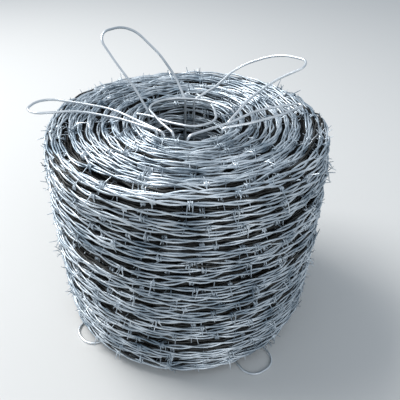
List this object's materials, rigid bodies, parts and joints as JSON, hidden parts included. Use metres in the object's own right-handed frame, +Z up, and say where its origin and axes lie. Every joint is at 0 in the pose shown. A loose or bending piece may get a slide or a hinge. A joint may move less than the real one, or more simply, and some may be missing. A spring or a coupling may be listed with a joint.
{
  "type": "coil of barbed wire",
  "caption": "Wound coil of galvanised barbed wire standing on end, with an open bore, looped tie wire handles on top, feet below and hoops across the mouth",
  "frame": {"origin": "where the bore's axis meets the floor, at the lower end of the bore's wall", "axes": "+Z up along the bore, -Y toward the viewer of the picture, +X to the viewer's right"},
  "size_m": [0.3223, 0.31, 0.3195],
  "materials": {
    "line_wire": "weathered hot-dip zinc, spangled and dull",
    "tie_wire": "smooth drawn galvanised wire"
  },
  "bodies": {
    "root": {"barbed_wire_coil": "line_wire", "tie_loop_left": "tie_wire", "tie_loop_back_left": "tie_wire", "tie_loop_back_right": "tie_wire", "tie_loop_right": "tie_wire", "mouth_hoop_left": "tie_wire", "mouth_hoop_right": "tie_wire"}
  },
  "joints": []
}
